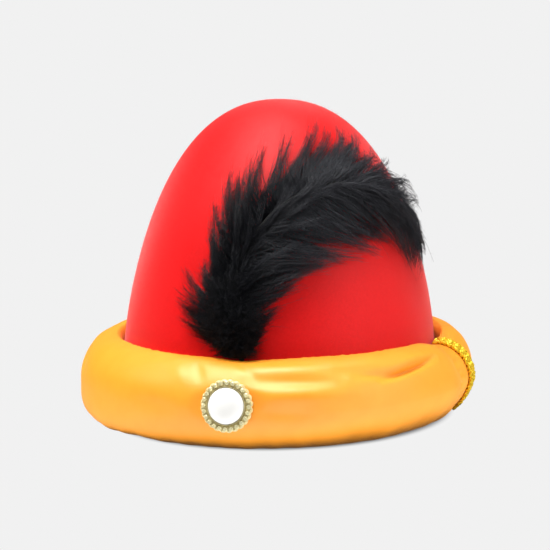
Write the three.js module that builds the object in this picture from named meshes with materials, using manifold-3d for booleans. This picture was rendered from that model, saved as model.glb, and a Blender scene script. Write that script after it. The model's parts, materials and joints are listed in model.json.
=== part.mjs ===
// A costume hat: a tall oval felt dome with a padded satin roll sewn round its foot, a curled plume
// tucked into the crease between them, a pearl brooch on the front and a braid round the roll.
// Millimetres, +Z up. The origin is the middle of the head opening, on the surface that the hat
// stands on. The front of the hat is -Y. Azimuths go round Z from +X, in degrees.
import * as THREE from "three";
import { mergeVertices } from "three/addons/utils/BufferGeometryUtils.js";
import Module from "manifold-3d";

const wasm = await Module();
wasm.setup();

// ---- Driving dimensions ----------------------------------------------------------------------

const GAP = 0.3; // between pieces that touch
const ROUND_STEPS = 36; // facets round the oval
const DOME_STEPS = 12; // facets from the springing line to the top of the dome

// The dome stands straight up to the springing line, then closes over. Its height follows a power
// of its girth at both ends: "rise" shapes it near the springing line and "fullness" near the top.
const DOME = { halfWidth: 89.2, halfDepth: 106, height: 180.5, springing: 24.6, rise: 1.77, fullness: 2.26 };
const FELT = 2.2;
const STIFFENER = 1.2;
const LINING = 0.8;
const LINING_GORES = 4;
const SWEATBAND = { thick: 0.8, top: 38 };
const FOOT = 3.2; // height of the layers' lower edges
const TAPE = { bottom: 1.6, top: 2.8, overlap: GAP };

// The roll's section: "crown" is how far out its highest line runs, "lean" how much further the
// front bulges than the sides, "drop" how far its inner side falls to the crease, and "belly" the
// height of its widest line. "low" and "high" are the powers of its curve below and above the
// belly, where 2 is an ellipse. "sag" and "slump" are how much each changes from the sides that
// the braid pinches (+X) to the sides that it leaves full (-X).
const ROLL = { width: 23.3, lean: 2.6, height: 48, belly: 23.4, crown: 4, drop: 6, cover: 1 };
const BULGE = { low: 2, sag: 0.45, high: 1.78, slump: -0.2, steps: 10 };

// "skew" is how many degrees round the hat the braid's lower end has slipped towards the back.
const BRAID = { azimuth: 1.5, width: 16, thick: 1.2, lift: 0.35, last: -62, skew: 8, steps: 14 };
// The braid ties the roll down: "dip" is how far it pulls down the roll's top, "tuck" how far it pulls
// in the roll's outer side, and "reach" how many degrees along the roll that goes each way.
const TIE = { azimuth: 0, dip: 5.5, tuck: 1.8, reach: 20 };

// The vanes lie "under" off the felt, and are "middle" high off it halfway out and "edge" at the rim.
const PLUME = { quillBase: 1.5, quillTip: 0.5, steps: 18, sides: 8, under: 1.4, middle: 7.5, edge: 3 };
// Azimuth, height and distance off the felt along the quill, then azimuth and height along the
// edges of the two vanes, station by station from the base to the tip.
const QUILL_LINE = [
  [-84, 49, 4.2], [-86, 58, 4.4], [-88, 70, 4.6], [-88, 83, 4.8], [-86, 97, 4.8], [-81, 111, 4.8],
  [-72, 124, 4.8], [-57, 133, 4.8], [-40, 135, 4.6], [-22, 129, 4.4], [-8, 116, 4.2], [-2, 97, 4],
];
const OUTER_EDGE = [
  [-92, 55], [-102, 60], [-107, 72], [-105, 87], [-98, 104], [-98, 126],
  [-88, 145], [-64, 158], [-33, 162], [-4, 149], [10, 129], [7, 99],
];
const INNER_EDGE = [
  [-80, 54], [-78, 59], [-75, 68], [-70, 78], [-64, 91], [-58, 94],
  [-50, 95], [-41, 97], [-31, 107], [-21, 105], [-15, 96], [-9, 90],
];
const STUB = { radius: 1.4, tape: 0.5, bottom: 24, top: 47.6, out: 2.9 };

// The brooch is pressed into the front of the roll, a little above its middle.
const BROOCH = { azimuth: -86, tilt: 9, press: 2.2, radius: 14.1, thick: 1.5, sides: 28 };
const PEARL = { radius: 9.6, height: 6.3, cupWall: 0.3, cupFloor: 0.6, cupHeight: 1.6 };
const STONES = { count: 24, ring: 12, radius: 1.3, height: 2, sides: 6 };
const SHANK = { loop: 2, wire: 0.5, legs: 0.1, pocket: 3.6, depth: 5.2 };
const THREAD = { loop: 2.4, wire: 0.4, legs: 1.2, topDepth: 0.7 };
const WIRE_SIDES = 8;

const LABEL = { width: 22, height: 28, thick: 0.4, top: 70, back: 94.2 };

const COLOURS = {
  felt: 0xf21a1a, satin: 0xf0a63c, wadding: 0xf2f0ea, buckram: 0xd9d4c8, lining: 0x1b1a1c,
  sweatband: 0x141315, tape: 0x8f1216, braid: 0xe8b41c, plume: 0x121216, quill: 0x26221f,
  gilt: 0xc9a75a, pearl: 0xf4f1ec, stone: 0xe6dcc0, thread: 0xd89a34, label: 0xf4f4f2,
};

// ---- Making closed meshes --------------------------------------------------------------------

const radians = THREE.MathUtils.degToRad;

// Leaves only merged positions, without the triangles that merging has flattened.
function tidy(geometry) {
  const bare = geometry.clone();
  bare.deleteAttribute("normal");
  bare.deleteAttribute("uv");
  const merged = mergeVertices(bare, 1e-3);
  const kept = [];
  for (let i = 0; i < merged.index.count; i += 3) {
    const [a, b, c] = [0, 1, 2].map((k) => merged.index.getX(i + k));
    if (a !== b && b !== c && c !== a) kept.push(a, b, c);
  }
  merged.setIndex(kept);
  return merged;
}

// Skins equal loops of points, each running clockwise for someone who looks along the row of loops.
// Joined loops close into a ring. Open ones get caps that fan out from each end loop's first point.
function skin(loops, joined) {
  const size = loops[0].length;
  const positions = loops.flat().flatMap((p) => [p.x, p.y, p.z]);
  const index = [];
  const bands = joined ? loops.length : loops.length - 1;
  for (let k = 0; k < bands; k++) {
    const next = (k + 1) % loops.length;
    for (let j = 0; j < size; j++) {
      const a = k * size + j;
      const b = next * size + j;
      const c = next * size + ((j + 1) % size);
      const d = k * size + ((j + 1) % size);
      index.push(a, b, c, a, c, d);
    }
  }
  const last = (loops.length - 1) * size;
  for (let j = 1; !joined && j < size - 1; j++) {
    index.push(0, j, j + 1, last, last + j + 1, last + j);
  }
  const geometry = new THREE.BufferGeometry();
  geometry.setAttribute("position", new THREE.Float32BufferAttribute(positions, 3));
  geometry.setIndex(index);
  return tidy(geometry);
}

function ring(loopAt) {
  const loops = [];
  for (let k = 0; k < ROUND_STEPS; k++) loops.push(loopAt((360 * k) / ROUND_STEPS));
  return skin(loops, true);
}

function toSolid(geometry) {
  const mesh = tidy(geometry);
  return new wasm.Manifold(
    new wasm.Mesh({
      numProp: 3,
      vertProperties: mesh.attributes.position.array,
      triVerts: new Uint32Array(mesh.index.array),
    }),
  );
}

function toGeometry(solid) {
  const mesh = solid.getMesh();
  const geometry = new THREE.BufferGeometry();
  geometry.setAttribute("position", new THREE.BufferAttribute(mesh.vertProperties, 3));
  geometry.setIndex(new THREE.BufferAttribute(mesh.triVerts, 1));
  return geometry;
}

function cut(geometry, ...tools) {
  return toGeometry(tools.reduce((solid, tool) => solid.subtract(toSolid(tool)), toSolid(geometry)));
}

const hat = new THREE.Group();

function piece(name, geometry, colour, roughness, metalness = 0, parent = hat) {
  const material = new THREE.MeshStandardMaterial({ color: colour, roughness, metalness });
  const mesh = new THREE.Mesh(geometry, material);
  mesh.name = name;
  parent.add(mesh);
  return mesh;
}

// ---- The dome's layers -----------------------------------------------------------------------

// How far round the dome's profile a height lies: 0 at the springing line, 1 at the top.
function riseAt(z, inset = 0) {
  const share = (z - DOME.springing) / (DOME.height - inset - DOME.springing);
  return Math.asin(Math.max(share, 0) ** (DOME.rise / 2)) / (Math.PI / 2);
}

function domePoint(azimuth, rise, inset) {
  const angle = (rise * Math.PI) / 2;
  const closing = DOME.height - inset - DOME.springing;
  const girth = Math.max(Math.cos(angle), 0) ** (2 / DOME.fullness);
  return new THREE.Vector3(
    (DOME.halfWidth - inset) * girth * Math.cos(radians(azimuth)),
    (DOME.halfDepth - inset) * girth * Math.sin(radians(azimuth)),
    DOME.springing + closing * Math.sin(angle) ** (2 / DOME.rise),
  );
}

// A layer of the hat's wall, from the foot up to a rise of the dome: outside up, inside down.
function wall(outside, thick, foot, topRise = 1, steps = DOME_STEPS) {
  return ring((azimuth) => {
    const up = [];
    const down = [];
    for (let i = 0; i <= steps; i++) {
      up.push(domePoint(azimuth, (topRise * i) / steps, outside));
      down.unshift(domePoint(azimuth, (topRise * i) / steps, outside + thick));
    }
    return [up[0].clone().setZ(foot), ...up, ...down, down.at(-1).clone().setZ(foot)];
  });
}

function liningGore(shell, number) {
  const reach = DOME.halfDepth + DOME.halfWidth;
  const quadrant = new THREE.BoxGeometry(reach, reach, 2 * DOME.height);
  quadrant.translate(reach / 2 + GAP / 2, reach / 2 + GAP / 2, 0);
  quadrant.rotateZ(radians((360 / LINING_GORES) * (number - 1)));
  return toGeometry(toSolid(shell).intersect(toSolid(quadrant)));
}

function addDome() {
  const stiffenerAt = FELT + GAP;
  const liningAt = stiffenerAt + STIFFENER + GAP;
  const bandAt = liningAt + LINING + GAP;
  piece("crown_felt", wall(0, FELT, FOOT), COLOURS.felt, 0.9);
  piece("crown_stiffener", wall(stiffenerAt, STIFFENER, FOOT), COLOURS.buckram, 0.95);
  const lining = wall(liningAt, LINING, FOOT);
  for (let n = 1; n <= LINING_GORES; n++) {
    piece(`lining_gore_${n}`, liningGore(lining, n), COLOURS.lining, 0.6);
  }
  const band = wall(bandAt, SWEATBAND.thick, FOOT, riseAt(SWEATBAND.top, bandAt), 2);
  piece("sweatband", band, COLOURS.sweatband, 0.8);
  const tape = ring((azimuth) => {
    const outer = domePoint(azimuth, 0, TAPE.overlap);
    const inner = domePoint(azimuth, 0, bandAt + SWEATBAND.thick + TAPE.overlap);
    return [
      outer.clone().setZ(TAPE.bottom), outer.clone().setZ(TAPE.top),
      inner.clone().setZ(TAPE.top), inner.clone().setZ(TAPE.bottom),
    ];
  });
  piece("opening_tape", tape, COLOURS.tape, 0.85);
}

// ---- The padded roll -------------------------------------------------------------------------

function wallNormal(azimuth) {
  const angle = radians(azimuth);
  const x = Math.cos(angle) / DOME.halfWidth;
  return new THREE.Vector3(x, Math.sin(angle) / DOME.halfDepth, 0).normalize();
}

// A point at a distance out from the foot of the dome, and a height.
function rollPoint(azimuth, out, z) {
  return domePoint(azimuth, 0, 0).addScaledVector(wallNormal(azimuth), out).setZ(z);
}

// How much the braid ties the roll at an azimuth: 1 under the braid, 0 out of its reach.
function tieAt(azimuth) {
  const away = Math.abs(((azimuth - TIE.azimuth + 540) % 360) - 180);
  return Math.max(0, 1 - away / TIE.reach);
}

function rollTop(azimuth) {
  return ROLL.height - TIE.dip * tieAt(azimuth);
}

// The roll's bulging side, from -90 degrees underneath to 90 degrees on top: [out, z].
function bulgeAt(azimuth, degrees, inset = 0) {
  const side = Math.cos(radians(azimuth));
  const below = degrees < 0;
  const power = 2 / (below ? BULGE.low - BULGE.sag * side : BULGE.high - BULGE.slump * side);
  const width = ROLL.width - ROLL.lean * Math.sin(radians(azimuth)) - TIE.tuck * tieAt(azimuth);
  const reach = width - ROLL.crown - inset;
  const rise = (below ? 0 : rollTop(azimuth)) - ROLL.belly - Math.sign(degrees) * inset;
  const [c, s] = [Math.cos(radians(degrees)), Math.sin(radians(degrees))];
  return [ROLL.crown + reach * Math.max(c, 0) ** power, ROLL.belly + rise * Math.abs(s) ** power];
}

// The roll's section, anticlockwise: underside, bulge, then over the top and down to the crease.
function rollLoop(azimuth, inset, wallSide) {
  const loop = [[wallSide, inset]];
  for (let i = 0; i <= BULGE.steps; i++) {
    loop.push(bulgeAt(azimuth, -90 + (180 * i) / BULGE.steps, inset));
  }
  const top = rollTop(azimuth) - inset;
  for (const turn of [35, 65]) {
    const out = ROLL.crown - (ROLL.crown - wallSide) * Math.sin(radians(turn));
    loop.push([out, top - ROLL.drop * (1 - Math.cos(radians(turn)))]);
  }
  loop.push([wallSide, top - ROLL.drop]);
  return loop.map(([out, z]) => rollPoint(azimuth, out, z));
}

// Turns a geometry made round +Z so that +Z points out of the roll where the brooch sits.
function broochPlacement() {
  const [out, z] = bulgeAt(BROOCH.azimuth, BROOCH.tilt);
  const normal = wallNormal(BROOCH.azimuth).multiplyScalar(Math.cos(radians(BROOCH.tilt)));
  normal.z = Math.sin(radians(BROOCH.tilt));
  const floor = rollPoint(BROOCH.azimuth, out, z).addScaledVector(normal, -BROOCH.press);
  const sideways = new THREE.Vector3(0, 0, 1).cross(normal).normalize();
  const upwards = normal.clone().cross(sideways);
  return new THREE.Matrix4().makeBasis(sideways, upwards, normal).setPosition(floor);
}

// The hollows that the brooch, its shank and the quill press into the roll, widened by a margin.
function rollHollows(margin) {
  const reach = 2 * ROLL.width;
  const discRadius = BROOCH.radius + 2 * GAP + margin;
  const disc = new THREE.CylinderGeometry(discRadius, discRadius, reach, BROOCH.sides);
  disc.rotateX(Math.PI / 2);
  disc.translate(0, 0, reach / 2 - margin);
  disc.applyMatrix4(broochPlacement());
  const shank = new THREE.CylinderGeometry(SHANK.pocket, SHANK.pocket, reach, 12);
  shank.rotateX(Math.PI / 2);
  shank.translate(0, 0, reach / 2 - SHANK.depth);
  shank.applyMatrix4(broochPlacement());
  const stubRadius = STUB.radius + STUB.tape + 3 * GAP;
  const stub = new THREE.CylinderGeometry(stubRadius, stubRadius, ROLL.height, 12);
  stub.rotateX(Math.PI / 2);
  const foot = rollPoint(QUILL_LINE[0][0], STUB.out, STUB.bottom - 2 * GAP + ROLL.height / 2);
  stub.translate(foot.x, foot.y, foot.z);
  return [disc, shank, stub];
}

function addRoll() {
  const outside = ring((azimuth) => rollLoop(azimuth, 0, GAP));
  const inside = ring((azimuth) => rollLoop(azimuth, ROLL.cover, -ROLL.cover));
  const [pressed, shankHole, quillHole] = rollHollows(0);
  const hollow = cut(inside, rollHollows(ROLL.cover)[0]);
  const cover = cut(cut(outside, pressed), hollow, shankHole, quillHole);
  piece("roll_cover", cover, COLOURS.satin, 0.35, 0.2);
  const padding = ring((azimuth) => rollLoop(azimuth, ROLL.cover + GAP, 2 * GAP));
  const waddingHollow = rollHollows(ROLL.cover + GAP)[0];
  piece("roll_wadding", cut(padding, waddingHollow, shankHole, quillHole), COLOURS.wadding, 1);
}

// A flat braid that crosses over the roll and goes down its outer side to the underside.
function addBraid() {
  const spread = (BRAID.width / 2 / (DOME.halfDepth + ROLL.width)) * (180 / Math.PI);
  const loops = [];
  for (let i = 0; i <= BRAID.steps; i++) {
    const degrees = BRAID.last + ((90 - BRAID.last) * i) / BRAID.steps;
    const middle = BRAID.azimuth + BRAID.skew * ((90 - degrees) / (90 - BRAID.last)) ** 2;
    const row = (lift) =>
      [-1, 0, 1].map((side) => {
        const azimuth = middle + side * spread;
        const [out, z] = bulgeAt(azimuth, degrees, -lift);
        return rollPoint(azimuth, out, z);
      });
    const [low, high] = [row(BRAID.lift), row(BRAID.lift + BRAID.thick)];
    loops.unshift([high[1], high[2], low[2], low[1], low[0], high[0]]);
  }
  piece("roll_braid", skin(loops, false), COLOURS.braid, 0.4, 0.7);
}

// ---- The plume -------------------------------------------------------------------------------

// A point at an azimuth and height of the dome, lifted off the felt along its outward normal.
function offFelt(azimuth, z, lift) {
  const rise = riseAt(z);
  const point = domePoint(azimuth, rise, 0);
  const alongProfile = domePoint(azimuth, Math.min(rise + 1e-3, 1), 0).sub(point);
  const round = domePoint(azimuth + 0.1, rise, 0).sub(point);
  return point.addScaledVector(round.cross(alongProfile).normalize(), lift);
}

function curveThrough(stations) {
  const points = stations.map(([azimuth, z, lift = 0]) => new THREE.Vector3(azimuth, z, lift));
  return new THREE.CatmullRomCurve3(points);
}

// One vane: a thin pad that follows the felt from beside the quill to the vane's outer edge.
function vane(edgeStations, side) {
  const quill = curveThrough(QUILL_LINE);
  const edge = curveThrough(edgeStations);
  const loops = [];
  for (let i = 0; i <= PLUME.steps; i++) {
    const a = quill.getPoint(i / PLUME.steps);
    const b = edge.getPoint(i / PLUME.steps);
    const span = offFelt(a.x, a.y, 0).distanceTo(offFelt(b.x, b.y, 0));
    const first = (PLUME.quillBase + 2 * GAP) / span;
    const at = (share, lift) => {
      const [azimuth, z] = [a.x + (b.x - a.x) * share, a.y + (b.y - a.y) * share];
      return offFelt(azimuth, z, lift);
    };
    const half = (first + 1) / 2;
    const loop = [
      at(half, PLUME.middle), at(1, PLUME.edge), at(1, PLUME.under),
      at(half, PLUME.under), at(first, PLUME.under), at(first, PLUME.middle),
    ];
    if (side < 0) loop.push(...loop.splice(1).reverse());
    loops.push(loop);
  }
  return skin(loops, false);
}

function quillGeometry() {
  const stations = curveThrough(QUILL_LINE);
  const points = [];
  for (let i = 0; i <= PLUME.steps; i++) {
    const p = stations.getPoint(i / PLUME.steps);
    points.push(offFelt(p.x, p.y, p.z));
  }
  const curve = new THREE.CatmullRomCurve3(points);
  const frames = curve.computeFrenetFrames(PLUME.steps, false);
  const loops = points.map((_, i) => {
    const centre = curve.getPointAt(i / PLUME.steps);
    const radius = THREE.MathUtils.lerp(PLUME.quillBase, PLUME.quillTip, i / PLUME.steps);
    return Array.from({ length: PLUME.sides }, (_unused, k) => {
      const angle = (2 * Math.PI * k) / PLUME.sides;
      return centre
        .clone()
        .addScaledVector(frames.normals[i], -radius * Math.cos(angle))
        .addScaledVector(frames.binormals[i], radius * Math.sin(angle));
    });
  });
  return skin(loops, false);
}

// The quill's held end goes down between the felt and the wadding, wound with tape.
function addQuillStub() {
  const length = STUB.top - STUB.bottom;
  const foot = rollPoint(QUILL_LINE[0][0], STUB.out, (STUB.bottom + STUB.top) / 2);
  const stub = new THREE.CylinderGeometry(STUB.radius, STUB.radius, length, PLUME.sides);
  stub.rotateX(Math.PI / 2);
  const bore = STUB.radius + GAP;
  const outside = bore + STUB.tape;
  const profile = [[bore, 0], [outside, 0], [outside, length * 0.8], [bore, length * 0.8], [bore, 0]];
  const tape = new THREE.LatheGeometry(profile.map(([r, y]) => new THREE.Vector2(r, y - length / 2)), 12);
  tape.rotateX(Math.PI / 2);
  piece("quill_stub", stub, COLOURS.quill, 0.5).position.copy(foot);
  piece("stub_tape", tape, COLOURS.plume, 0.8).position.copy(foot);
}

function addPlume() {
  piece("plume_quill", quillGeometry(), COLOURS.quill, 0.5);
  piece("plume_outer_vane", vane(OUTER_EDGE, 1), COLOURS.plume, 0.9);
  piece("plume_inner_vane", vane(INNER_EDGE, -1), COLOURS.plume, 0.9);
  addQuillStub();
}

// ---- The brooch ------------------------------------------------------------------------------

// A solid of revolution round +Z from a profile of [radius, z].
function turned(profile, sides) {
  const lathe = new THREE.LatheGeometry(profile.map(([r, z]) => new THREE.Vector2(r, z)), sides);
  return tidy(lathe.rotateX(Math.PI / 2));
}

function pearlProfile(bottom) {
  const profile = [[0, bottom], [PEARL.radius, bottom]];
  for (let angle = 15; angle < 90; angle += 15) {
    const r = PEARL.radius * Math.cos(radians(angle));
    profile.push([r, bottom + PEARL.height * Math.sin(radians(angle))]);
  }
  return [...profile, [0, bottom + PEARL.height]];
}

// A half-round arch of wire in the XZ plane, on straight legs.
function wireArch(radius, wire, legs) {
  const stations = [[180, -legs]];
  for (let angle = 180; angle >= 0; angle -= 15) stations.push([angle, 0]);
  stations.push([0, -legs]);
  const loops = stations.map(([angle, drop]) => {
    const outward = new THREE.Vector3(Math.cos(radians(angle)), 0, Math.sin(radians(angle)));
    const centre = outward.clone().multiplyScalar(radius).add(new THREE.Vector3(0, 0, drop));
    return Array.from({ length: WIRE_SIDES }, (_unused, k) => {
      const turn = (2 * Math.PI * k) / WIRE_SIDES;
      const across = new THREE.Vector3(0, wire * Math.sin(turn), 0);
      return centre.clone().addScaledVector(outward, wire * Math.cos(turn)).add(across);
    });
  });
  return skin(loops, false);
}

function addBrooch() {
  const brooch = new THREE.Group();
  brooch.applyMatrix4(broochPlacement());
  hat.add(brooch);
  const back = GAP;
  const face = back + BROOCH.thick;
  const rim = BROOCH.radius;
  const bevel = BROOCH.thick / 3;
  const dish = [
    [0, back], [rim - bevel, back], [rim, back + bevel], [rim, face - bevel], [rim - bevel, face], [0, face],
  ];
  piece("brooch_base", turned(dish, BROOCH.sides), COLOURS.gilt, 0.3, 0.9, brooch);

  const cupAt = face + GAP;
  const seat = cupAt + PEARL.cupFloor;
  const lip = cupAt + PEARL.cupHeight;
  const bore = PEARL.radius + GAP;
  const outside = bore + PEARL.cupWall;
  const cup = [[0, cupAt], [outside, cupAt], [outside, lip], [bore, lip], [bore, seat], [0, seat]];
  piece("pearl_cup", turned(cup, BROOCH.sides), COLOURS.gilt, 0.3, 0.9, brooch);
  piece("pearl", turned(pearlProfile(seat + GAP), BROOCH.sides), COLOURS.pearl, 0.2, 0, brooch);

  const r = STONES.radius;
  const h = STONES.height;
  for (let n = 0; n < STONES.count; n++) {
    const stone = turned([[0, 0], [r * 0.5, 0], [r, h * 0.6], [r * 0.6, h], [0, h]], STONES.sides);
    const angle = (2 * Math.PI * n) / STONES.count;
    const name = `rhinestone_${String(n + 1).padStart(2, "0")}`;
    const mesh = piece(name, stone, COLOURS.stone, 0.05, 0, brooch);
    mesh.position.set(STONES.ring * Math.cos(angle), STONES.ring * Math.sin(angle), cupAt);
    mesh.rotation.z = angle;
  }

  const loop = wireArch(SHANK.loop, SHANK.wire, SHANK.legs);
  const shank = piece("brooch_shank", loop, COLOURS.gilt, 0.35, 0.9, brooch);
  shank.rotation.x = Math.PI;
  shank.position.z = -SHANK.legs;
  const stitch = wireArch(THREAD.loop, THREAD.wire, THREAD.legs);
  const thread = piece("shank_thread", stitch, COLOURS.thread, 0.8, 0, brooch);
  thread.rotation.z = Math.PI / 2;
  thread.position.z = -THREAD.topDepth - THREAD.loop;
}

// ---- The label -------------------------------------------------------------------------------

function addLabel() {
  const label = new THREE.BoxGeometry(LABEL.width, LABEL.thick, LABEL.height);
  piece("care_label", label, COLOURS.label, 0.7).position.set(0, LABEL.back, LABEL.top - LABEL.height / 2);
}

addDome();
addRoll();
addBraid();
addPlume();
addBrooch();
addLabel();

export default hat;
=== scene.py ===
"""The looks of a costume hat: a felt dome, a padded satin roll, a curled plume, a pearl brooch and a
metallic braid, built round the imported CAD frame. Lengths are in metres, azimuths and other angles in
degrees, azimuths counted from +X towards +Y. The front of the hat is -Y."""

import json
import math

import bpy
import numpy as np
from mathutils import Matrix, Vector


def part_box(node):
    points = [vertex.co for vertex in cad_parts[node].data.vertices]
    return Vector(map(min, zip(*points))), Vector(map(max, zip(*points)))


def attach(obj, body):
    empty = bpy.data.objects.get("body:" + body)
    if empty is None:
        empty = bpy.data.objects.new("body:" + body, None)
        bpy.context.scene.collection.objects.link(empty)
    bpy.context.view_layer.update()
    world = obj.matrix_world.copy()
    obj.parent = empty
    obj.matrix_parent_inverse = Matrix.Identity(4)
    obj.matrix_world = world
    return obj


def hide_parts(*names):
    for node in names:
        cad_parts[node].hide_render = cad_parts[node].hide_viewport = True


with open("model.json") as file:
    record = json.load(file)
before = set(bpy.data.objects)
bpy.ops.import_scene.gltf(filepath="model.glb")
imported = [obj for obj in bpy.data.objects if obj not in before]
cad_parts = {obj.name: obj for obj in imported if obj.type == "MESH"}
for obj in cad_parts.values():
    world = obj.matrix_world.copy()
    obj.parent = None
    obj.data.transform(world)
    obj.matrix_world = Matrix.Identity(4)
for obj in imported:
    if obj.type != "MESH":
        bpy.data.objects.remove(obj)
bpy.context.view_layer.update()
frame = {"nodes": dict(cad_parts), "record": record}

MM = 0.001

# ---- Sizes, from the frame and the CAD part ----

crown_low, crown_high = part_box("crown_felt")
roll_low, roll_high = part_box("roll_cover")
HALF_WIDTH, HALF_DEPTH, HEIGHT = crown_high
FOOT = crown_low.z
SPRINGING = 24.6 * MM
RISE, FULLNESS = 1.77, 2.26  # the powers of the dome's profile, low down and near the top
FELT = 2.2 * MM
LINING_AT, LINING = 4 * MM, 0.8 * MM  # the lining's distance inside the felt's face, and its thickness
BAND_AT = 5.1 * MM  # the same distance for the sweatband

ROLL_WIDTH = -roll_low.x - HALF_WIDTH
ROLL_LEAN = HALF_DEPTH + ROLL_WIDTH - roll_high.y  # how much further the front bulges than the sides
ROLL_TOP = roll_high.z
BELLY = 23.4 * MM  # height of the roll's widest line
ROLL_CROWN = 4 * MM  # how far out the roll's highest line runs
ROLL_DROP = 6 * MM  # from there down to the crease
ROLL_LOW, ROLL_SAG = 2, 0.45  # power of the section below the belly, and its change round the hat
ROLL_HIGH, ROLL_SLUMP = 1.78, -0.2  # the same above the belly
CREASE_GAP = 0.3 * MM

BRAID_AZIMUTH, BRAID_WIDTH, BRAID_LIFT = 1.5, 16 * MM, 0.35 * MM
BRAID_FIRST, BRAID_LAST = 118, -62  # the section angles that it runs between
BRAID_SKEW = 8  # degrees round the hat that its lower end has slipped towards the back
TIE_DIP, TIE_TUCK, TIE_REACH = 5.5 * MM, 1.8 * MM, 22  # how the braid pulls in the roll's top and side
CREASE_OPENS, OPENS_AT = 2.4 * MM, 11  # the crease gapes just behind the braid
PLUME_DIP, PLUME_AZIMUTH = 1.2 * MM, -84  # how far the plume's foot presses the roll's top down

joints = {joint["name"]: joint for joint in frame["record"]["behaviour"]["joints"]}
BROOCH_FLOOR = np.array(joints["brooch_turn"]["pos_m"])
BROOCH_AXIS = np.array(joints["brooch_turn"]["axis"])

# Azimuth, height and distance off the felt (mm) along the quill, then azimuth and height along the
# edges of the two vanes, station by station from the base to the tip.
QUILL_LINE = [
    (-84, 49, 4.2), (-86, 58, 4.4), (-88, 70, 4.6), (-88, 83, 4.8), (-86, 97, 4.8), (-81, 111, 4.8),
    (-72, 124, 4.8), (-57, 133, 4.8), (-40, 135, 4.6), (-22, 129, 4.4), (-8, 116, 4.2), (-2, 97, 4),
]
OUTER_EDGE = [
    (-92, 55), (-102, 60), (-107, 72), (-105, 87), (-98, 104), (-98, 126),
    (-88, 145), (-64, 158), (-33, 162), (-4, 149), (10, 129), (7, 99),
]
INNER_EDGE = [
    (-80, 54), (-78, 59), (-75, 68), (-70, 78), (-64, 91), (-58, 94),
    (-50, 95), (-41, 97), (-31, 107), (-21, 105), (-15, 96), (-9, 90),
]


# ---- The hat's surfaces ----


def unit(v):
    return v / np.maximum(np.linalg.norm(v, axis=-1, keepdims=True), 1e-12)


def joined(*parts):
    """Points, or the corners of faces, from arrays that are spread to one shape."""
    return np.stack(np.broadcast_arrays(*parts), -1)


def eased(x):
    x = np.clip(x, 0, 1)
    return x * x * (3 - 2 * x)


def dome_rise(z, inset=0):
    """How far round the dome's profile a height lies: 0 at the springing line, 1 at the top."""
    share = np.clip((z - SPRINGING) / (HEIGHT - inset - SPRINGING), 0, 1)
    return np.arcsin(share ** (RISE / 2)) / (math.pi / 2)


def dome_point(azimuth, rise, inset=0):
    angle = rise * math.pi / 2
    turn = np.radians(azimuth)
    girth = np.clip(np.cos(angle), 0, 1) ** (2 / FULLNESS)
    x = (HALF_WIDTH - inset) * girth * np.cos(turn)
    y = (HALF_DEPTH - inset) * girth * np.sin(turn)
    z = SPRINGING + (HEIGHT - inset - SPRINGING) * np.sin(angle) ** (2 / RISE)
    return joined(x, y, z)


def dome_normal(azimuth, rise):
    step = 1e-3
    low = np.clip(rise, 0, 0.997)
    up = dome_point(azimuth, low + step) - dome_point(azimuth, low)
    ahead = dome_point(azimuth + 0.05, low) - dome_point(azimuth - 0.05, low)
    return unit(np.cross(ahead, up))


def off_felt(azimuth, z, lift):
    """Points lifted off the felt at an azimuth and height."""
    rise = dome_rise(z)
    return dome_point(azimuth, rise) + dome_normal(azimuth, rise) * np.asarray(lift)[..., None]


def wall_normal(azimuth):
    turn = np.radians(azimuth)
    return unit(joined(np.cos(turn) / HALF_WIDTH, np.sin(turn) / HALF_DEPTH, 0))


def roll_point(azimuth, out, z):
    p = dome_point(azimuth, 0) + wall_normal(azimuth) * np.asarray(out)[..., None]
    p[..., 2] = z
    return p


def all_round(count):
    """Azimuths spaced evenly round the hat, one in each row."""
    return np.arange(count)[:, None] * 360.0 / count


def from_azimuth(azimuth, centre):
    return (azimuth - centre + 180) % 360 - 180


def tied(azimuth):
    """How much the braid ties the roll: 1 under the braid, 0 out of its reach."""
    away = np.minimum(np.abs(from_azimuth(azimuth, 0)) / TIE_REACH, 1)
    return np.cos(away * math.pi / 2) ** 2


def roll_top(azimuth):
    return ROLL_TOP - TIE_DIP * tied(azimuth)


def plume_weighs(azimuth):
    """1 under the plume's foot, 0 away from it."""
    return np.exp(-((from_azimuth(azimuth, PLUME_AZIMUTH) / 8) ** 2))


def bulge(azimuth, degrees, inset=0):
    """(out, z) on the roll's bulging side, from -90 underneath to 90 on top."""
    side = np.cos(np.radians(azimuth))
    power = np.where(degrees < 0, 2 / (ROLL_LOW - ROLL_SAG * side), 2 / (ROLL_HIGH - ROLL_SLUMP * side))
    width = ROLL_WIDTH - ROLL_LEAN * np.sin(np.radians(azimuth)) - TIE_TUCK * tied(azimuth)
    reach = width - ROLL_CROWN - inset
    rise = np.where(degrees < 0, 0, roll_top(azimuth)) - BELLY - np.sign(degrees) * inset
    c = np.clip(np.cos(np.radians(degrees)), 0, 1)
    s = np.abs(np.sin(np.radians(degrees)))
    return ROLL_CROWN + reach * c**power, BELLY + rise * s**power


def over_top(azimuth, degrees, inset=0):
    """(out, z) where the roll turns over from 90 on top down to the crease at 180."""
    turn = np.radians(degrees - 90)
    gap = CREASE_GAP + CREASE_OPENS * np.exp(-((from_azimuth(azimuth, OPENS_AT) / 5.5) ** 2))
    out = ROLL_CROWN - (ROLL_CROWN - gap - inset) * np.sin(turn)
    return out, roll_top(azimuth) - inset * np.cos(turn) - ROLL_DROP * (1 - np.cos(turn))


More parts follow.
